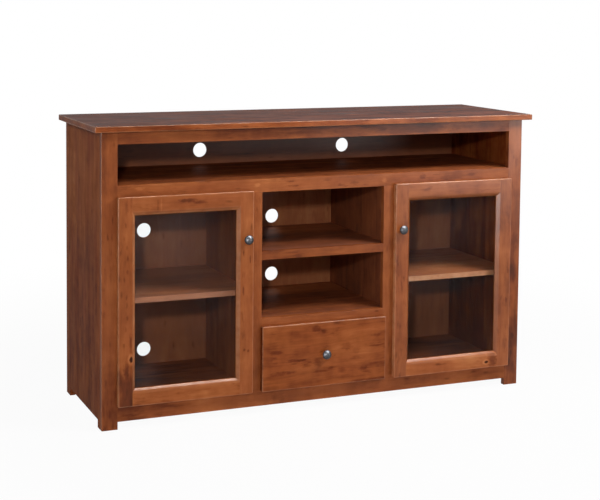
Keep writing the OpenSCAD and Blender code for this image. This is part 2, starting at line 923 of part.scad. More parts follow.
door_screws("left");  // left_door_screws
door_hinge_stile("right");  // right_door_hinge_stile
door_knob_stile("right");  // right_door_knob_stile
door_rail("right", door_top_rail_h, true);  // right_door_top_rail
door_rail("right", door_bottom_rail_h, false);  // right_door_bottom_rail
door_glass("right");  // right_door_glass
door_beads("right");  // right_door_beads
door_knob("right");  // right_door_knob
door_cups("right");  // right_door_cups
door_screws("right");  // right_door_screws
hinge_links("left");  // left_hinge_links
hinge_links("right");  // right_hinge_links
drawer_front();
drawer_box_front();
drawer_side("left");  // drawer_side_left
drawer_side("right");  // drawer_side_right
drawer_back();
drawer_bottom();
drawer_knob();
drawer_slides();
drawer_screws();
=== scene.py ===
import math
import random

import bmesh
import bpy
from mathutils import Matrix, Vector


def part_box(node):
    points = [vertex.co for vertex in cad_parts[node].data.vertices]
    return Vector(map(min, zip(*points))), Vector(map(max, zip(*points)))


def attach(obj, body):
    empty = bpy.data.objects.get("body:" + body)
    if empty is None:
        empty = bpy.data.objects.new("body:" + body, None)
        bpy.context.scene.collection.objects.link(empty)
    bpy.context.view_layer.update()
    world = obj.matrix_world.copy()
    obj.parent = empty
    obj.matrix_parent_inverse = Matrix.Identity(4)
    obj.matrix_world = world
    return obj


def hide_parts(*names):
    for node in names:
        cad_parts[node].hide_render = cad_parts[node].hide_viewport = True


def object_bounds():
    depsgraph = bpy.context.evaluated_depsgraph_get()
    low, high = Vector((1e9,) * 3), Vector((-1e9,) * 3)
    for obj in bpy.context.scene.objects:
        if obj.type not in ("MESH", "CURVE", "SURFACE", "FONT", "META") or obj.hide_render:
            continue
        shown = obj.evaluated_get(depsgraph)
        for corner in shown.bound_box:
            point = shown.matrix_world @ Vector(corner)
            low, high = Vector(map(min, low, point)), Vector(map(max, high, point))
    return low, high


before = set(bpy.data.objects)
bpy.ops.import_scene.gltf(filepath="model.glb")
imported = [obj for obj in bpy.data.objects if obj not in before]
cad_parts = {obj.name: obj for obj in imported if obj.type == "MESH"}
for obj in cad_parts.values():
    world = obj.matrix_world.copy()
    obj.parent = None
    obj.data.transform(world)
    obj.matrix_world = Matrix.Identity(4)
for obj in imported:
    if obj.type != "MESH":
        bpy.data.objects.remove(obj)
cad_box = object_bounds()

# The top.
# Five cherry boards, glued edge to edge, planed flat and eased along the rim. It overhangs the front
# and both sides, and is screwed down through the cleats. The other boards take their finish from here.


def paint(red, green, blue):
    """A colour given from 0 to 255, for a shader socket."""
    def linear(level):
        level /= 255
        return level / 12.92 if level <= 0.04045 else ((level + 0.055) / 1.055) ** 2.4
    return (linear(red), linear(green), linear(blue), 1.0)


class Socket:
    """An output in a finish. Sums and products of it add the Math nodes that work them out."""

    def __init__(self, finish, made, out):
        self.finish, self.made = finish, made
        self.link = made.outputs[out] if made.outputs else None

    def of(self, out):
        return Socket(self.finish, self.made, out)

    def maths(self, operation, *values):
        """A Math node that works out this operation on sockets and numbers."""
        return self.finish.node("Math", {"operation": operation}, dict(enumerate(values)))

    def __add__(self, other):
        return self.maths("ADD", self, other)

    def __sub__(self, other):
        return self.maths("SUBTRACT", self, other)

    def __rsub__(self, other):
        return self.maths("SUBTRACT", other, self)

    def __mul__(self, other):
        return self.maths("MULTIPLY", self, other)

    def __truediv__(self, other):
        return self.maths("DIVIDE", self, other)

    def __rtruediv__(self, other):
        return self.maths("DIVIDE", other, self)

    def __pow__(self, other):
        return self.maths("POWER", self, other)

    def __rpow__(self, other):
        return self.maths("POWER", other, self)

    __radd__, __rmul__ = __add__, __mul__

    def swing(self, amount):
        """Turns a noise from 0 to 1 into a swing of this much in all, half of it below zero."""
        return (self - 0.5) * amount


class Finish:
    """A material being mixed, or the studio's white. Every node of it comes from node()."""

    def __init__(self, name, kept_with=bpy.data.materials):
        self.mixed = kept_with.new(name)
        self.mixed.use_nodes = True
        self.tree = self.mixed.node_tree
        self.tree.nodes.clear()

    def node(self, kind, settings=None, sockets=None, out=0):
        """Adds a node of this kind: first its settings, then the values or links of its sockets."""
        made = self.tree.nodes.new("ShaderNode" + kind)
        for key, value in (settings or {}).items():
            if key == "stops":
                ramp = made.color_ramp.elements
                while len(ramp) < len(value):
                    ramp.new(0.5)
                for stop, (place, colour) in zip(ramp, value):
                    stop.position, stop.color = place, colour
            else:
                setattr(made, key, value)
        for key, value in (sockets or {}).items():
            if isinstance(value, Socket):
                self.tree.links.new(value.link, made.inputs[key])
            else:
                made.inputs[key].default_value = value
        return Socket(self, made, out)

    def vector(self, x, y, z):
        """A place put together from its three coordinates."""
        return self.node("CombineXYZ", sockets={0: x, 1: y, 2: z})

    def noise(self, place, patches, seed, detail=2.0, rough=0.5):
        """Noise from 0 to 1 with so many patches to the metre along each axis of place."""
        apart = [seed * stride for stride in SEED_STRIDES]
        at = self.node("VectorMath", {"operation": "MULTIPLY_ADD"}, {0: place, 1: patches, 2: apart})
        return self.node("TexNoise", {"normalize": True},
                         {"Vector": at, "Scale": 1.0, "Detail": detail, "Roughness": rough})

    def step(self, value, low, high, from_low=0.0, to_high=1.0):
        """Goes smoothly from from_low to to_high while value goes from low to high."""
        return self.node("MapRange", {"interpolation_type": "SMOOTHSTEP"},
                         {0: value, 1: low, 2: high, 3: from_low, 4: to_high})

    def mix(self, share, first, second, how="MIX"):
        """The first colour with this share of the second mixed in."""
        return self.node("Mix", {"data_type": "RGBA", "blend_type": how},
                         {0: share, 6: first, 7: second}, out=2)

    def close(self, surface, output="OutputMaterial"):
        """Puts the surface on the material or the world that was mixed, and hands that over."""
        self.node(output, sockets={"Surface": surface})
        return self.mixed


SEED_STRIDES = (7.31, 3.17, 5.77)    # how far apart in the noise two seeds lie, along each axis
STAIN = [(0.0, paint(72, 28, 9)), (0.3, paint(116, 54, 23)), (0.52, paint(150, 79, 37)),
         (0.75, paint(174, 98, 50)), (1.0, paint(202, 128, 76))]
ROSY = paint(238, 212, 226)
# The pale wash: stain wiped thin, and on the inside boards a painted haze of reflected light.
WIPED_WOOD_AND_HAZE = paint(150, 104, 80)
# The pale colour of worn arrises and bevels: partly rubbed wood, partly painted highlight.
RUBBED_AND_HIGHLIT_WOOD = paint(210, 148, 102)
GUM_FLECK = paint(82, 36, 18)
KNOT_HEART = paint(46, 18, 10)
RING_WIDTH = 0.0065    # metres from one growth ring to the next
PANEL_MIDDLE = 0.37    # how far across its board the middle of a glued-up panel lies, as a share
SHORT_MARK = 0.05      # half the length in metres under which a mark's edge is fine
LONG_MARK = 0.15       # half the length in metres over which a mark's edge is calmer
KNOT_WIDTH = 0.62      # a knot's width as a share of its length


def board_place(wood, box, grain, thin):
    """The place in a board: along the grain, across it and through the board, from the board's middle."""
    axes = wood.node("SeparateXYZ", sockets={0: wood.node("TexCoord", out="Object")})
    length, thickness = "xyz".index(grain), "xyz".index(thin)
    width = 3 - length - thickness    # the numbers of the three axes add up to 3
    middle = (box[0] + box[1]) / 2
    return [axes.of(i) - middle[i] for i in (length, width, thickness)]


def glue_up(wood, across, board_width, seed):
    """The boards of a glued-up panel: how far along the trunk each was cut, the place across from its own
    heart, and a number from 0 to 1 that each has for itself."""
    which = wood.node("Math", {"operation": "FLOOR"}, {0: across / board_width + PANEL_MIDDLE})
    odd = wood.node("TexWhiteNoise", {"noise_dimensions": "1D"}, {"W": which * 1.7 + seed})
    cut = wood.node("TexWhiteNoise", {"noise_dimensions": "1D"}, {"W": which * 2.9 + seed + 5})
    from_heart = across - (which + 0.5 - PANEL_MIDDLE) * board_width + odd.swing(board_width) * 0.7
    return cut * 9.0, from_heart, odd


def marked(wood, shade, along, across, marks, fine, slow):
    """Darkens shade in soft marks. Each mark is its place along and across from the board's middle, half
    its length, half its width, all in metres, and how dark it is, below 0 for a pale one. Its edge is
    ragged, by the fine noise on a short mark and by the slow one on others."""
    for at_along, at_across, half_long, half_wide, dark in marks:
        long_way = (along - at_along) / half_long
        wide_way = (across - at_across) / half_wide
        ragged = fine if half_long < SHORT_MARK else slow
        far = ((long_way * long_way + wide_way * wide_way) ** 0.5
               + ragged.swing(0.5 if half_long > LONG_MARK else 1.5))
        shade = shade - wood.step(far, 0.25, 1.15, dark, 0.0)
    return shade


def knotted(wood, shade, along, across, knot, fine):
    """Puts a knot at its place along and across, with its radius in metres: a pale ring in the shade, and
    the share of the dark heart inside it."""
    at_along, at_across, radius = knot
    long_way, wide_way = (along - at_along) * KNOT_WIDTH, across - at_across
    far = ((long_way * long_way + wide_way * wide_way) ** 0.5) / radius + fine.swing(0.9)
    heart = wood.step(far, 0.6, 1.1, 1.0, 0.0)
    return shade + wood.step(far, 0.9, 1.3, 0.0, 0.28) - wood.step(far, 1.3, 2.4, 0.0, 0.28), heart


def gum_flecks(wood, place, apart):
    """Small dark flecks of gum, in up to a fifth of the cells that the wood is divided into."""
    cells = wood.node("VectorMath", {"operation": "MULTIPLY_ADD"}, {0: place, 1: (19, 62, 62), 2: apart})
    cell = wood.node("TexVoronoi", {"feature": "F1"}, {"Vector": cells, "Scale": 1.0, "Randomness": 1.0})
    chosen = wood.node("SeparateColor", sockets={0: cell.of("Color")})
    return wood.step(chosen, 0.78, 0.96) * wood.step(cell.of("Distance"), 0.04, 0.34, 1.0, 0.0)


def cherry(name, box, grain, thin, seed, tone=0.0, red=0.0, gloss=0.2, satin=0.26, board_width=None,
           second_coat=None, thin_stain=0.0, marks=(), knot=None):
    """Knotty cherry under a red-brown stain and satin lacquer, its figure cut from the trunk of this seed.
    tone lightens it, red warms it, gloss is how much the lacquer shines and satin how dull it was left.
    board_width is the width of the boards that it is glued up from. Where second_coat is given, the
    face that lies so far above the middle is darker: painted shade. thin_stain is how much of a
    pale wash is mixed in: stain wiped thin, and on the inside boards a painted haze of reflected light."""
    rng = random.Random(seed)
    wood = Finish(name)
    along, across, through = board_place(wood, box, grain, thin)
    trunk = rng.uniform(3, 60)
    fine = wood.noise(wood.vector(along, across, through), (90, 170, 170), trunk + 2, 3, 0.6)
    if board_width:
        cut, from_heart, odd = glue_up(wood, across, board_width, seed)
        trunk_along = along + cut
    else:
        trunk_along, from_heart = along, across + rng.uniform(-0.015, 0.015)
    place = wood.vector(trunk_along, across, through)

    # Growth rings, round a heart that lies outside the board and sways along it.
    sway = wood.noise(place, (1.6, 5, 5), trunk)
    lean = wood.noise(place, (2.3, 8, 8), trunk + 3)
    ripple = wood.noise(place, (11, 38, 38), trunk + 5, 3, 0.6)
    wide_way = from_heart + sway.swing(0.07)
    deep_way = through + rng.choice((-1, 1)) * rng.uniform(0.022, 0.05) + lean.swing(0.03)
    ring = (wide_way * wide_way + deep_way * deep_way) ** 0.5 / RING_WIDTH + ripple.swing(1.6)
    growth = wood.node("TexNoise", {"noise_dimensions": "1D"},
                       {"W": ring * 0.3 + trunk, "Scale": 1.0, "Detail": 2.0, "Roughness": 0.5})
    late_wood = wood.node("Math", {"operation": "FRACT"}, {0: ring}) ** 4.0

    # The figure: streaks, clouds and curl that bend with the grain, fibres, and dull smudges.
    bent = wood.vector(trunk_along, across + sway.swing(0.05) + ripple.swing(0.012), through)
    streak = wood.noise(bent, (9, 85, 85), trunk + 7, 3, 0.6)
    cloud = wood.noise(bent, (7, 21, 21), trunk + 11, 3, 0.6)
    curl = wood.noise(bent, (27, 13, 13), trunk + 13)
    fibre = wood.noise(place, (26, 1100, 1100), trunk + 17, 2, 0.6)
    smudge = (wood.step(wood.noise(bent, (17, 55, 55), trunk + 21, 3, 0.6), 0.53, 0.72)
              * wood.step(wood.noise(place, (4, 9, 9), trunk + 23), 0.42, 0.62))
    shade = (0.5 + tone + growth.swing(0.24) + streak.swing(0.26) + cloud.swing(0.66) + curl.swing(0.26)
             + fibre.swing(0.14) - late_wood * 0.05 - smudge * 0.22)
    if board_width:
        shade = shade + odd.swing(0.14)
    if second_coat:
        # The top face is made darker than the rest of the board: painted shade.
        shade = shade - wood.step(through, second_coat - 0.001, second_coat) * 0.33
    shade = marked(wood, shade, along, across, marks, fine, cloud)
    if knot:
        shade, heart = knotted(wood, shade, along, across, knot, fine)
    fleck = gum_flecks(wood, bent, (trunk, seed * 1.3, 0.4))

    # The stain, rosy in places, with the flecks and the knot dark in it.
    colour = wood.node("ValToRGB", {"stops": STAIN}, {0: shade})
    rosy = wood.noise(place, (4, 14, 14), trunk + 19)
    colour = wood.mix(wood.step(rosy, 0.35, 0.75, 0.0, 0.3 + red), colour,
                      wood.mix(1.0, colour, ROSY, "MULTIPLY"))
    # A pale wash mixed in: stain wiped thin, and on the inside boards a painted haze of reflected light.
    if thin_stain:
        colour = wood.mix(thin_stain, colour, WIPED_WOOD_AND_HAZE)
    colour = wood.mix(fleck * 0.5, colour, GUM_FLECK)
    height = fibre * 0.5 + streak * 0.35 + late_wood * 0.25 - fleck * 0.5
    if knot:
        colour = wood.mix(heart * 0.9, colour, KNOT_HEART)
        height = height - heart * 1.2
    # Pale where the worn layer says: partly rubbed wood, partly painted highlight and light.
    worn = wood.node("Attribute", {"attribute_name": "worn"}, out="Fac")
    worn = worn * wood.step(wood.noise(place, (35, 35, 35), trunk + 29, 3, 0.6), 0.3, 0.65, 0.35, 0.85)
    colour = wood.mix(worn * 0.55, colour, RUBBED_AND_HIGHLIT_WOOD)

    # The lacquer, which shines more where it was rubbed and less in the flecks.
    sheen = wood.noise(place, (5, 11, 11), trunk + 31)
    lacquer = gloss * (0.55 + sheen * 0.9) - fleck * 0.04 + worn * 0.45
    return wood.close(wood.node("BsdfPrincipled", sockets={
        "Base Color": colour,
        "Roughness": 0.5 + streak.swing(0.18) + fibre.swing(0.12) + fleck * 0.08,
        "Normal": wood.node("Bump", sockets={"Strength": 0.3, "Distance": 0.0004, "Height": height}),
        "Specular IOR Level": 0.0,
        "Coat Weight": wood.node("Math", {"operation": "MINIMUM"}, {0: lacquer, 1: 1.0}),
        "Coat Roughness": satin}))


def finished(made, name, material, slot, body, *nodes):
    """Turns a bmesh into a piece with its finish, on its body, in the place of its CAD nodes."""
    mesh = bpy.data.meshes.new(name)
    made.to_mesh(mesh)
    made.free()
    mesh.materials.append(material)
    piece = bpy.data.objects.new(name, mesh)
    bpy.context.scene.collection.objects.link(piece)
    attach(piece, body)
    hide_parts(*nodes)
    return piece


FLUSH = 1e-5              # metres within which a corner lies on a side of the outline
HOLE_FACET = 6e-6         # square metres, more than one facet of a drilled hole and less than other faces
SQUARE = (1.2, 2.0)       # radians between the faces' directions at a square arris
OBTUSE = (0.6, 1.2)       # the same where a bevel meets a flat face
SOFTENED = 0.005          # metres that the outer arris of a door's bevel is rounded over
BARE, ROUNDED = 1.8, 0.7    # how worn a drilled hole, how pale a rounded arris: wear and painted highlight
BEVELLED, SOFT = 0.3, 0.2   # how pale a bevel and the softened arris beside it: wear and painted highlight


def eased(node, ease, round_over=0.0, outline=(), rubbed=None, bevel_rub_and_highlight=None):
    """A bmesh with the shape of a CAD node, its flat faces whole again and its arrises eased. round_over
    rounds the square arrises on the outline of the nodes that it is glued up with, and makes them pale.
    rubbed is the way that other pale faces look, and how pale: the shelves' front edges, partly worn and
    partly painted highlight, and the doors' left side faces, painted light. bevel_rub_and_highlight is for
    the bevels of a door: how pale they are, partly wear and partly painted highlight, and then their outer
    arris is softened too. The worn layer holds how pale each face is, for the finish: partly
    rubbed wood and partly painted highlight."""
    made = bmesh.new()
    made.from_mesh(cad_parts[node].data)
    bmesh.ops.remove_doubles(made, verts=made.verts, dist=FLUSH)
    bmesh.ops.dissolve_limit(made, angle_limit=0.01, verts=made.verts, edges=made.edges)
    worn = made.faces.layers.float.new("worn")
    for face in made.faces:
        face.smooth = True
        slanted = max(abs(n) for n in face.normal) < 0.8
        if face.calc_area() < HOLE_FACET:
            face[worn] = BARE
        elif slanted:
            face[worn] = bevel_rub_and_highlight or BEVELLED
        elif rubbed and face.normal.dot(rubbed[0]) > 0.9:
            face[worn] = rubbed[1]
    boxes = [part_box(name) for name in outline or (node,)]
    low = [min(box[0][i] for box in boxes) for i in range(3)]
    high = [max(box[1][i] for box in boxes) for i in range(3)]

    def sides(corner):
        return {(i, end) for i in range(3) for end, limit in ((0, low[i]), (1, high[i]))
                if abs(corner.co[i] - limit) < FLUSH}

    def on_outline(edge):
        return len(sides(edge.verts[0]) & sides(edge.verts[1])) > 1

    def beside_front(edge):
        return max(abs(face.normal.y) for face in edge.link_faces) > 0.99

    def arrises(lowest, highest):
        return [edge for edge in made.edges
                if edge.is_manifold and lowest < edge.calc_face_angle(0.0) < highest]

    def round_off(edges, size, segments, rub):
        bent = bmesh.ops.bevel(made, geom=edges, offset=size, segments=segments, profile=0.5,
                               affect="EDGES", clamp_overlap=True)
        for face in bent["faces"]:
            face[worn] = rub

    if round_over:
        round_off([edge for edge in arrises(*SQUARE) if on_outline(edge)], round_over, 3, ROUNDED)
        if bevel_rub_and_highlight:
            round_off([edge for edge in arrises(*OBTUSE) if beside_front(edge)], SOFTENED, 4, SOFT)
        round_off(arrises(*OBTUSE), ease * 2.5, 2, ROUNDED)
    round_off(arrises(OBTUSE[0], math.pi), ease, 2, 0.0)
    return made


def lie_flat(piece):
    """Keeps the flat faces flat in the light, so that only the rounded arrises catch it."""
    piece.data.set_sharp_from_angle(angle=0.9)
    piece.modifiers.new("flat faces", "WEIGHTED_NORMAL").keep_sharp = True


def board(node, grain, thin, seed, body="root", ease=0.0005, round_over=0.0, outline=(), rubbed=None,
          bevel_rub_and_highlight=None, **look):
    """A board of the cabinet: its CAD shape with eased arrises, in its own cut of cherry."""
    material = cherry(node + "_cherry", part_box(node), grain, thin, seed, **look)
    shape = eased(node, ease, round_over, outline, rubbed, bevel_rub_and_highlight)
    lie_flat(finished(shape, "wood_" + node, material, "stained_wood", body, node))


FRONT_EDGE = -0.243    # just past the top's front edge, in metres across it from its middle
# The spots along the front edge are figure, and the two at its left end also darken it: painted shade.
TOP_MARKS = [(0.5, 0.03, 0.5, 0.22, 0.12)] + [
    (at_along, FRONT_EDGE, half_long, 0.02, dark) for at_along, half_long, dark in (
        (-0.55, 0.1, 0.15), (-0.73, 0.04, 0.1), (-0.3, 0.07, -0.1), (0.19, 0.06, -0.14),
        (0.36, 0.08, 0.12), (0.68, 0.14, -0.01))]
board("top", "x", "z", 11, round_over=0.0025, board_width=0.118, red=0.2, second_coat=0.0092,
      marks=TOP_MARKS)

# The two side panels.
# Each is glued up from upright cherry boards, with a cut-out that leaves a foot at the front and the
# back. Grooves inside take the decks, and rows of holes take the shelf pins.

# The left side is paler at the top and darker low, the right darker low: painted light and painted shade.
SIDE_MARKS = {"side_left": [(0.3, 0, 0.24, 0.4, -0.16), (-0.2, 0.12, 0.3, 0.12, 0.1)],
              "side_right": [(-0.25, 0, 0.36, 0.9, 0.2)]}
for node, seed, tone in (("side_left", 21, 0.04), ("side_right", 22, -0.04)):
    board(node, "z", "x", seed, ease=0.001, board_width=0.112, tone=tone, red=0.4, gloss=0.08,
          marks=SIDE_MARKS[node])

# The face frame.
# Upright stiles and level rails of solid cherry, joined with stub tenons and glue, sanded flush and
# fixed to the front of the cabinet. It is what the doors and the drawer close against.

FRAME_TONES = {"frame_stile_left": 0.05, "frame_stile_right": 0.0, "frame_stile_mid_left": 0.12,
               "frame_stile_mid_right": 0.14, "frame_rail_top": -0.08, "frame_rail_middle": 0.06,
               "frame_rail_bottom": 0.0, "frame_rail_shelf": -0.06, "frame_rail_drawer": 0.12}
FRAME_MARKS = {
    "frame_stile_left": [
        (0.04, 0, 0.14, 0.05, -0.14), (0.197, 0.01, 0.015, 0.004, 0.2),
        (0.142, -0.006, 0.014, 0.004, 0.25), (0.14, 0.008, 0.014, 0.004, 0.2),
        (0.02, 0.004, 0.03, 0.004, 0.15), (-0.36, 0, 0.14, 0.05, 0.16), (0.38, 0, 0.12, 0.06, 0.12)],
    "frame_stile_right": [
        (0.05, 0.005, 0.04, 0.015, 0.12), (-0.064, 0, 0.05, 0.02, 0.22), (-0.3, 0, 0.13, 0.04, 0.3),
        (0.25, -0.012, 0.012, 0.006, 0.2), (-0.02, 0, 0.18, 0.06, 0.12)],
    "frame_rail_top": [
        (0.38, 0.002, 0.07, 0.04, 0.24), (-0.06, 0, 0.08, 0.04, 0.16), (0.27, 0, 0.05, 0.04, 0.08),
        (0.47, 0, 0.03, 0.012, -0.2), (0.16, 0.012, 0.05, 0.005, 0.15), (-0.5, 0, 0.2, 0.05, -0.16),
        # The first mark below runs along the rail's upper edge: a painted shadow under the top's overhang.
        (0.06, 0.018, 0.6, 0.014, 0.34), (0.1, 0, 0.2, 0.03, 0.06)],
    "frame_rail_middle": [
        (-0.66, 0, 0.06, 0.04, 0.12), (-0.16, 0, 0.2, 0.04, -0.12), (0.48, 0, 0.05, 0.04, 0.14),
        (-0.5, 0, 0.2, 0.04, -0.08), (-0.64, 0.008, 0.02, 0.007, -0.24),
        (-0.24, 0.003, 0.014, 0.008, -0.22), (-0.123, 0.01, 0.02, 0.004, 0.24),
        (-0.11, -0.005, 0.03, 0.004, 0.22), (0.11, -0.005, 0.02, 0.006, 0.18),
        (0.222, 0, 0.012, 0.01, -0.24), (0.369, 0.006, 0.014, 0.012, 0.18),
        (0.56, 0.004, 0.02, 0.008, 0.12)],
    "frame_rail_bottom": [
        (-0.66, 0, 0.08, 0.06, 0.2), (-0.41, 0, 0.16, 0.06, -0.24), (-0.16, 0, 0.03, 0.04, 0.14),
        (0, 0, 0.11, 0.06, -0.14), (0.51, 0, 0.08, 0.06, -0.14), (-0.5, 0.004, 0.06, 0.006, 0.16)],
    "frame_rail_shelf": [(0.05, -0.004, 0.05, 0.006, -0.14), (-0.12, 0.004, 0.03, 0.004, 0.16)],
    "frame_rail_drawer": [
        (0.08, -0.003, 0.05, 0.005, -0.2), (-0.14, -0.004, 0.06, 0.005, -0.16),
        (0.2, 0.008, 0.012, 0.004, 0.28)],
}
for i, (node, tone) in enumerate(FRAME_TONES.items()):
    board(node, "z" if "stile" in node else "x", "y", 31 + i, ease=0.0004, round_over=0.0012,
          outline=list(FRAME_TONES), tone=tone, gloss=0.32 if node == "frame_stile_right" else 0.2,
          thin_stain=0.08, marks=FRAME_MARKS.get(node, ()))

# The fixed boards inside.
# The deck of the media slot and the bottom run from side to side in grooves; two partitions stand
# between them and carry the cubby shelf and the board over the drawer. All are duller than the outside.

INSIDE_LOOKS = {
    "upper_deck": {"tone": -0.06, "gloss": 0.15, "thin_stain": 0.12},
    "bottom_panel": {"tone": -0.06, "gloss": 0.15, "thin_stain": 0.12},
    "partition_left": {"gloss": 0.15, "thin_stain": 0.28},
    "partition_right": {"tone": -0.08, "gloss": 0.15, "thin_stain": 0.25},
    # The marks on the centre shelf and the drawer deck make their rear paler: painted light in the shade.
    "centre_shelf": {"tone": -0.2, "gloss": 0.4, "thin_stain": 0.2, "marks": [(0, 0.14, 0.5, 0.12, -0.42)]},
    "drawer_deck": {"tone": -0.07, "gloss": 0.3, "thin_stain": 0.14, "marks": [(0, 0.15, 0.5, 0.1, -0.3)]},
}
for i, (node, look) in enumerate(INSIDE_LOOKS.items()):
    grain, thin = ("z", "x") if "partition" in node else ("x", "z")
    board(node, grain, thin, 41 + i, board_width=0.11, satin=0.5, **look)

# The back.
# Four thin panels in a rabbet, screwed on from behind, each with round holes for the wires. The upper
# one lies with its grain level, and the others stand.

# The marks on the backs darken their tops and lighten a patch below: painted shadow and painted light. The
# backs' raised tones brighten the dim insides: painted light.
BACK_MARKS = {"back_left": [(0.1, 0.04, 0.14, 0.16, -0.14), (0.28, 0, 0.12, 0.5, 0.14)],
              "back_right": [(0.26, 0, 0.14, 0.9, 0.26), (0.05, 0, 0.08, 0.9, -0.14)]}
board("back_upper", "x", "y", 51, board_width=0.13, tone=0.02, gloss=0.36, thin_stain=0.4, satin=0.4)
for node, seed, tone in (("back_left", 52, 0.22), ("back_centre", 53, 0.32), ("back_right", 54, 0.1)):
    board(node, "z", "y", seed, board_width=0.16, tone=tone, gloss=0.26, thin_stain=0.4, satin=0.4,
          marks=BACK_MARKS.get(node, ()))

# The loose shelves behind the doors.
# Cherry boards, glued up and planed like the fixed ones, that rest on four pins each and can be moved
# up or down. Their front edges are rubbed from things being put in, and made paler still as painted light.

FORWARD = Vector((0, -1, 0))
# The left shelf's mark makes its rear paler, and both shelves' raised tones brighten them: painted light.
board("shelf_left", "x", "z", 61, rubbed=(FORWARD, 0.2), board_width=0.12, tone=0.24, gloss=0.9,
      thin_stain=0.3, satin=0.5, marks=[(0, 0.14, 0.5, 0.12, -0.28)])
board("shelf_right", "x", "z", 62, rubbed=(FORWARD, 1.6), board_width=0.12, tone=0.26, gloss=0.3,
      thin_stain=0.2, satin=0.5)


# Inner strips of plain wood.
# Cleats under the top, which it is screwed to, and spacers that bring the drawer's slides out to the
# edge of the opening: unstained maple, sawn and screwed in place.


def plain_wood(name, box, grain, thin, seed, light, dark):
    """Bare or clear-lacquered wood with a fine, straight grain."""
    wood = Finish(name)
    place = wood.vector(*board_place(wood, box, grain, thin))
    band = wood.noise(place, (2.5, 60, 60), seed, 3, 0.6)
    fibre = wood.noise(place, (30, 1200, 1200), seed + 3, 2, 0.6)
    cloud = wood.noise(place, (5, 15, 15), seed + 5)
    shade = wood.step(band * 0.5 + cloud * 0.3 + fibre * 0.2, 0.25, 0.75)
    bump = wood.node("Bump", sockets={"Strength": 0.4, "Distance": 0.0003, "Height": fibre + band})
    return wood.close(wood.node("BsdfPrincipled", sockets={
        "Base Color": wood.mix(shade, dark, light), "Roughness": 0.5 + fibre.swing(0.2),
        "Normal": bump, "Specular IOR Level": 0.3}))


PALE_MAPLE, DARK_MAPLE = paint(196, 150, 108), paint(160, 112, 74)
for node, grain, thin, seed in (("top_cleats", "x", "z", 71), ("slide_spacers", "y", "x", 72)):
    maple = plain_wood(node + "_maple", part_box(node), grain, thin, seed, PALE_MAPLE, DARK_MAPLE)
    lie_flat(finished(eased(node, 0.0005), "strip_" + node, maple, "plain_wood", "root", node))


# Screws, pins, slides and hinges.
# Zinc-plated steel with a dull, slightly cloudy shine. Screws and pins are turned, slides and hinges are
# pressed from sheet and screwed on, and the hinges' cups are sunk into the doors.


def zinc_plated_steel():
    """Plated steel: fine scratches and a cloudy plating."""
    steel = Finish("zinc_plated_steel")
    where = steel.node("TexCoord", out="Object")
    cloud = steel.noise(where, (60, 60, 60), 4, 3, 0.6)
    scratch = steel.noise(where, (900, 900, 60), 8)
    bright = paint(190, 192, 196)
    clouded = tuple(plated * dull for plated, dull in zip(bright, paint(205, 208, 212)))
    bump = steel.node("Bump", sockets={"Strength": 0.15, "Distance": 0.0001, "Height": scratch})
    return steel.close(steel.node("BsdfPrincipled", sockets={
        "Base Color": steel.mix(steel.step(cloud, 0.3, 0.7), bright, clouded), "Metallic": 1.0,
        "Roughness": 0.34 + cloud.swing(0.16) + scratch.swing(0.08), "Normal": bump}))


def dressed(node, material):
    """Gives a CAD node, which is shown as it is, its finish."""
    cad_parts[node].data.materials[0] = material


steel = zinc_plated_steel()
for node in ("cabinet_screws", "shelf_pins", "cabinet_slides", "hinge_plates",
             "left_hinge_links", "right_hinge_links", "drawer_slides", "drawer_screws",
             "left_door_cups", "right_door_cups", "left_door_screws", "right_door_screws"):
    dressed(node, steel)


# Bumpers.
# Small discs of clear, soft plastic, moulded and stuck to the face frame, on which the doors and the
# drawer close without a knock.


def soft_clear_plastic():
    """Clear plastic over dark wood: brownish, with a slight milkiness."""
    plastic = Finish("soft_clear_plastic")
    milky = plastic.noise(plastic.node("TexCoord", out="Object"), (150, 150, 150), 3)
    return plastic.close(plastic.node("BsdfPrincipled", sockets={
        "Base Color": plastic.mix(milky, paint(120, 96, 78), paint(142, 120, 102)),
        "Roughness": 0.4 + milky * 0.2}))


dressed("bumpers", soft_clear_plastic())

# The doors.
# Two stiles run the full height and two rails fit between them, their ends cut over the bevel that
# runs round the glass. The pane lies in a rabbet at the back and is held by four thin strips.

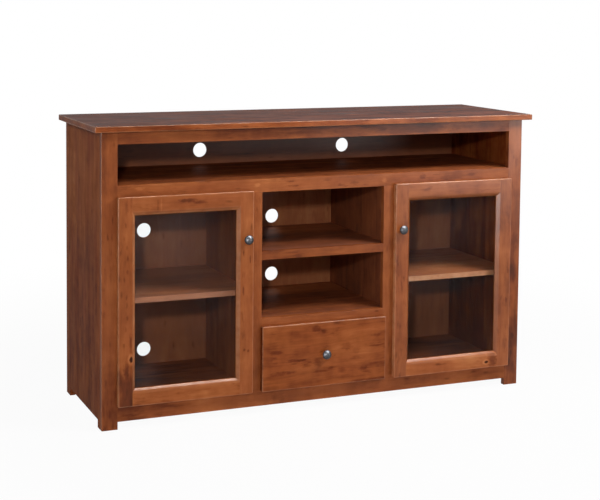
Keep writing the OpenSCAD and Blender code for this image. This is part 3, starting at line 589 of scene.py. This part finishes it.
DOOR_PARTS = ("_hinge_stile", "_knob_stile", "_top_rail", "_bottom_rail")
DOOR_TONES = {"left": (0.1, 0.17, 0.1, 0.18), "right": (0.06, 0.03, 0.06, 0.24)}
DOOR_GLOSS = {"left": (0.2, 0.2, 0.2, 0.16), "right": (0.42, 0.36, 0.36, 0.22)}
DOOR_MIDDLE = sum(corner.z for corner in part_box("left_door_hinge_stile")) / 2
PIN_KNOTS = ((654, -3), (612, -9), (584, 1), (549, 3), (506, 2), (482, -8), (424, -1), (401, 0),
             (361, 2), (323, -3))    # millimetres above the floor and from the middle of the stile
DOOR_MARKS = {
    "left_door_hinge_stile": [
        *((z / 1000 - DOOR_MIDDLE, x / 1000, 0.01, 0.004, 0.16) for z, x in PIN_KNOTS),
        (-0.13, 0.012, 0.035, 0.006, 0.3), (-0.215, -0.002, 0.03, 0.012, 0.25),
        (-0.29, 0, 0.12, 0.05, 0.42)],
    "left_door_knob_stile": [
        (0.1325, -0.0075, 0.012, 0.004, 0.32), (0.012, -0.0075, 0.02, 0.004, 0.32),
        (0.11, 0.0157, 0.014, 0.003, 0.32), (-0.186, -0.003, 0.006, 0.006, 0.28),
        (-0.19, 0.01, 0.006, 0.005, 0.28)],
    "left_door_top_rail": [
        (0, 0.011, 0.035, 0.008, 0.32), (0.04, 0.003, 0.03, 0.006, 0.26),
        (-0.087, 0, 0.004, 0.03, -0.18), (-0.098, 0, 0.004, 0.025, 0.14)],
    "left_door_bottom_rail": [(0.06, 0.004, 0.03, 0.005, 0.15), (-0.08, -0.006, 0.04, 0.004, 0.12)],
    "right_door_bottom_rail": [(0.162, 0, 0.022, 0.04, 0.3), (-0.05, 0.002, 0.03, 0.004, 0.16)],
    # A pale strip down the knob stile's left face: painted light.
    "right_door_knob_stile": [(0, -0.031, 0.5, 0.006, -0.36)],
    "right_door_hinge_stile": [
        (-0.02, 0.006, 0.03, 0.008, 0.12), (-0.25, 0.01, 0.04, 0.01, 0.14),
        (-0.1, 0.002, 0.17, 0.014, -0.14), (0.22, 0, 0.16, 0.04, 0.1)],
}
DOOR_KNOTS = {"left_door_hinge_stile": (-0.182, 0.014, 0.006),
              "right_door_bottom_rail": (0.137, -0.007, 0.005)}
LEFTWARD = Vector((-1, 0, 0))
# The doors' left-facing side faces are made pale to look lit from the left: painted light.
for side, seed, painted_light_side, bevel_rub_and_highlight in (("left", 80, 1.2, 0.8), ("right", 90, 2.0, 0.1)):
    door = side + "_door"
    parts = [door + part for part in DOOR_PARTS]
    for i, (node, tone, gloss) in enumerate(zip(parts, DOOR_TONES[side], DOOR_GLOSS[side])):
        board(node, "z" if "stile" in node else "x", "y", seed + i, door, ease=0.0004, round_over=0.0035,
              outline=parts, rubbed=(LEFTWARD, painted_light_side), bevel_rub_and_highlight=bevel_rub_and_highlight, tone=tone, gloss=gloss,
              thin_stain=0.08, marks=DOOR_MARKS.get(node, ()), knot=DOOR_KNOTS.get(node))
    board(door + "_beads", "z", "y", seed + len(parts), door)


def clear_glass(name, box, smear, seed):
    """Float glass, nearly clear, with a thin film that was wiped unevenly and fades to the right: partly
    dust, partly a painted reflection veil.
    """
    glass = Finish(name)
    where = glass.node("TexCoord", out="Object")
    dust = glass.noise(where, (14, 14, 14), 6, 3, 0.6)
    wiped = glass.noise(where, (3, 3, 3), seed)
    from_left = (glass.node("SeparateXYZ", sockets={0: where}) - box[0].x) / (box[1].x - box[0].x)
    dust_and_veil = (glass.step(wiped, 0.35, 0.65, 0.001, smear) * glass.step(dust, 0.2, 0.9, 0.8, 1.2)
            * glass.step(from_left, 0.2, 1.0, 1.2, 0.2))
    through = glass.node("BsdfTransparent", sockets={"Color": paint(252, 253, 253)})
    shine = glass.node("BsdfGlossy", sockets={
        "Color": (1, 1, 1, 1), "Roughness": glass.step(dust, 0.3, 0.8, 0.02, 0.06)})
    mirrored = glass.node("Fresnel", sockets={"IOR": 1.5}) * 0.05
    clear = glass.node("MixShader", sockets={0: mirrored, 1: through, 2: shine})
    haze = glass.node("BsdfDiffuse", sockets={"Color": paint(150, 158, 166)})
    return glass.close(glass.node("MixShader", sockets={0: dust_and_veil, 1: clear, 2: haze}))


# The left pane has more of the film than the right: partly dust, partly a painted reflection veil.
for side, smear, seed in (("left", 0.03, 14), ("right", 0.015, 9)):
    pane = side + "_door_glass"
    dressed(pane, clear_glass("clear_glass_" + side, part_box(pane), smear, seed))


# The knobs.
# Mushroom knobs turned from metal and finished as dark pewter, rubbed lighter in a fine mottle, each
# held by one screw from inside.


def pewter():
    """Dark pewter, mottled, brighter where it was rubbed."""
    metal = Finish("dark_pewter")
    where = metal.node("TexCoord", out="Object")
    mottle = metal.noise(where, (420, 420, 420), 5, 4, 0.6)
    patch = metal.noise(where, (130, 130, 130), 9)
    rubbed = metal.step(mottle * 0.6 + patch * 0.4, 0.3, 0.7)
    bump = metal.node("Bump", sockets={"Strength": 0.25, "Distance": 0.0002, "Height": mottle})
    return metal.close(metal.node("BsdfPrincipled", sockets={
        "Base Color": metal.mix(rubbed, paint(44, 45, 48), paint(92, 93, 97)), "Metallic": 0.9,
        "Roughness": 0.32 + (1 - rubbed) * 0.14, "Normal": bump}))


# Radius and distance from the wood, in millimetres, from the foot over the neck and the rim to the crown.
KNOB_PROFILE = [
    (0.0, 0.0), (8.5, 0.0), (8.5, 0.9), (8.2, 1.5), (7.2, 2.3), (6.0, 3.4),
    (5.5, 4.6), (5.5, 7.4), (6.2, 8.8), (8.2, 10.2), (11.2, 11.6), (13.8, 12.7),
    (15.0, 13.6), (15.5, 14.6), (15.45, 15.4), (15.1, 16.4),
    (14.3, 17.9), (12.9, 19.8), (10.9, 21.7), (8.3, 23.6), (5.4, 25.0), (2.6, 25.8), (0.0, 26.0)]
KNOB_STEPS = 48


def turned_knob(node, material, body):
    """Turns the profile about the middle of a CAD knob, from the wood behind it outwards."""
    low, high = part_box(node)
    x, z = (low.x + high.x) / 2, (low.z + high.z) / 2
    angles = [2 * math.pi * i / KNOB_STEPS for i in range(KNOB_STEPS)]
    made = bmesh.new()
    rings = []
    for radius, out in KNOB_PROFILE:
        y = high.y - out / 1000
        if radius == 0:
            rings.append([made.verts.new((x, y, z))] * KNOB_STEPS)
        else:
            rings.append([made.verts.new((x + radius / 1000 * math.cos(angle), y,
                                          z + radius / 1000 * math.sin(angle))) for angle in angles])
    for ring, following in zip(rings[:-1], rings[1:]):
        for i in range(KNOB_STEPS):
            j = (i + 1) % KNOB_STEPS
            corners = dict.fromkeys((ring[i], ring[j], following[j], following[i]))
            made.faces.new(list(corners)).smooth = True
    bmesh.ops.recalc_face_normals(made, faces=made.faces)
    finished(made, "turned_" + node, material, "knob_metal", body, node)


dark_pewter = pewter()
for node, body in (("left_door_knob", "left_door"), ("right_door_knob", "right_door"),
                   ("drawer_knob", "drawer")):
    turned_knob(node, dark_pewter, body)

# The drawer.
# A plain slab front over a box of clear-lacquered birch, its bottom held in grooves, with the knob's
# screw through both fronts.

DRAWER_MARKS = [
    (-0.032, 0.086, 0.021, 0.015, 0.23), (-0.006, 0.077, 0.012, 0.0075, 0.19),
    (0.079, 0.018, 0.024, 0.018, 0.19), (0.19, 0.047, 0.027, 0.006, 0.16),
    (0.184, 0.012, 0.033, 0.0045, 0.19), (-0.102, -0.0145, 0.045, 0.006, 0.22),
    (-0.175, 0.0185, 0.03, 0.009, 0.19), (-0.026, -0.026, 0.018, 0.021, 0.19),
    (-0.069, -0.0345, 0.024, 0.0075, 0.17), (-0.161, -0.053, 0.045, 0.009, 0.17),
    (-0.128, -0.05, 0.03, 0.006, 0.16), (-0.01, -0.058, 0.03, 0.006, 0.16),
    (0.14, -0.063, 0.024, 0.0075, 0.17), (0.062, -0.06, 0.018, 0.012, 0.12),
    # The first mark below darkens the lower edge at the right: partly dark wood, partly painted shadow.
    (0.18, -0.103, 0.075, 0.009, 0.22), (0.12, 0.07, 0.09, 0.04, -0.1),
    # The last mark below darkens the left end of the front: painted shade from the left door beside it.
    (0.15, -0.01, 0.06, 0.004, -0.1), (-0.228, 0, 0.006, 0.5, 0.3)]
board("drawer_front", "x", "y", 101, "drawer", ease=0.0012, round_over=0.0035, marks=DRAWER_MARKS)

PALE_BIRCH, DARK_BIRCH = paint(222, 190, 150), paint(196, 156, 112)
for node, grain, thin, seed in (("drawer_box_front", "x", "y", 126), ("drawer_back", "x", "y", 121),
                                ("drawer_side_left", "y", "x", 126), ("drawer_side_right", "y", "x", 127),
                                ("drawer_bottom", "x", "z", 123)):
    birch = plain_wood(node + "_birch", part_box(node), grain, thin, seed, PALE_BIRCH, DARK_BIRCH)
    lie_flat(finished(eased(node, 0.0006), "box_" + node, birch, "drawer_wood", "drawer", node))


# The studio.
# A white sweep: the floor keeps the cabinet's shadow and fades to plain white around it, and the world
# behind it is plain white.


def shown_plain(white):
    """1 where a ray comes from the camera, a reflection or the glass, and 0 where it brings light."""
    rays = white.node("LightPath")
    shown = rays.of("Is Camera Ray") + rays.of("Is Glossy Ray") + rays.of("Is Transmission Ray")
    return white.node("Math", {"operation": "MINIMUM"}, {0: shown, 1: 1.0})


def white_floor():
    """A matt white floor in the light that it gives back, and plain white where it is seen, a little
    less so near the cabinet."""
    white = Finish("white_floor")
    middle_to_here = white.node("VectorMath", {"operation": "LENGTH"},
                                {0: white.node("TexCoord", out="Object")}, out="Value")
    plain = shown_plain(white) * white.step(middle_to_here, 0.9, 2.6, 0.95, 1.0)
    return white.close(white.node("MixShader", sockets={
        0: plain, 1: white.node("BsdfDiffuse", sockets={"Color": paint(235, 235, 235)}),
        2: white.node("Emission", sockets={"Color": (1, 1, 1, 1), "Strength": 1.0})}))


def studio_world():
    """A dim room in the light that it gives, and plain white where it is seen."""
    white = Finish("studio", bpy.data.worlds)
    return white.close(white.node("MixShader", sockets={
        0: shown_plain(white), 1: white.node("Background", sockets={"Strength": 0.1}),
        2: white.node("Background", sockets={"Color": (1, 1, 1, 1), "Strength": 1.0})}), "OutputWorld")


FLOOR_REACH = 30    # metres from the middle
made = bmesh.new()
bmesh.ops.create_grid(made, x_segments=1, y_segments=1, size=FLOOR_REACH)
mesh = bpy.data.meshes.new("studio_floor")
made.to_mesh(mesh)
made.free()
mesh.materials.append(white_floor())
floor = bpy.data.objects.new("studio_floor", mesh)
floor.location.z = cad_box[0].z
scene = bpy.context.scene
scene.collection.objects.link(floor)
scene.world = studio_world()


def softbox(name, place, aim, size, watts, only_shine=False, no_shine=False):
    """A soft lamp. With only_shine it is a reflector card, seen in the lacquer and the metal alone, and
    with no_shine the lacquer and the metal don't show it."""
    lamp = bpy.data.lights.new(name, "AREA")
    lamp.shape = "RECTANGLE"
    lamp.size, lamp.size_y = size
    lamp.energy = watts
    holder = bpy.data.objects.new(name, lamp)
    holder.location = place
    holder.rotation_euler = (Vector(aim) - Vector(place)).to_track_quat("-Z", "Y").to_euler()
    holder.visible_diffuse = not only_shine
    holder.visible_glossy = not no_shine
    scene.collection.objects.link(holder)


softbox("key_softbox", (1.275, -1.288, 2.2), (0, -0.2, 0.5), (0.9, 0.4), 29)
softbox("steep_softbox", (0.8, -0.965, 2.2), (0, -0.2, 0.5), (0.9, 0.4), 11)
softbox("front_softbox", (-0.4, -4.4, 1.7), (0, 0, 0.5), (1.0, 0.8), 8)
softbox("camera_side_lamp", (-2.15, -4.2, 1.9), (0, -0.2, 0.5), (0.2, 0.2), 47)
softbox("left_softbox", (-2.2, -1.5, 1.9), (-0.7, 0, 0.6), (0.8, 0.8), 9)
softbox("rear_softbox", (0.7, 3.4, 1.9), (0, 0.2, 0.5), (1.4, 1.0), 30, no_shine=True)
softbox("right_card", (2.7, -3.6, 0.62), (0.5, -0.2, 0.8), (2.0, 0.6), 45, only_shine=True)
softbox("overhead_card", (1.0, -0.6, 2.6), (1.0, -0.6, 0.0), (2.6, 0.7), 172, only_shine=True)
softbox("left_card", (-2.9, -2.6, 0.6), (0, -0.3, 0.5), (1.0, 1.1), 110, only_shine=True)

# The camera.
# It stands where the photograph's did: in front, to the left and a little above the top. Its place,
# its aim and its lens were worked out from the cabinet's straight edges.

PHOTO_WIDTH, PHOTO_HEIGHT = 600, 500
SENSOR = 36.0    # millimetres
FOCAL_PX, CENTRE_PX = 1318.87, (250.90, 98.54)    # the focal length, and what the lens points at
CAMERA_AT = (-1.8291, -4.1509, 1.3496)
YAW, PITCH, ROLL = (math.radians(degrees) for degrees in (21.6277, -4.1657, 0.3929))
camera_data = bpy.data.cameras.new("camera")
camera_data.sensor_width = SENSOR
camera_data.lens = FOCAL_PX * SENSOR / PHOTO_WIDTH
camera_data.shift_x = (PHOTO_WIDTH / 2 - CENTRE_PX[0]) / PHOTO_WIDTH
camera_data.shift_y = (CENTRE_PX[1] - PHOTO_HEIGHT / 2) / PHOTO_WIDTH
forward = Vector((math.sin(YAW) * math.cos(PITCH), math.cos(YAW) * math.cos(PITCH), math.sin(PITCH)))
right = Vector((math.cos(YAW), -math.sin(YAW), 0))
up = right.cross(forward)
right, up = (right * math.cos(ROLL) + up * math.sin(ROLL), up * math.cos(ROLL) - right * math.sin(ROLL))
camera = bpy.data.objects.new("camera", camera_data)
camera.matrix_world = (Matrix.Translation(CAMERA_AT)
                       @ Matrix((right, up, -forward)).transposed().to_4x4())
scene.collection.objects.link(camera)
scene.camera = camera
scene.view_settings.view_transform = "Standard"
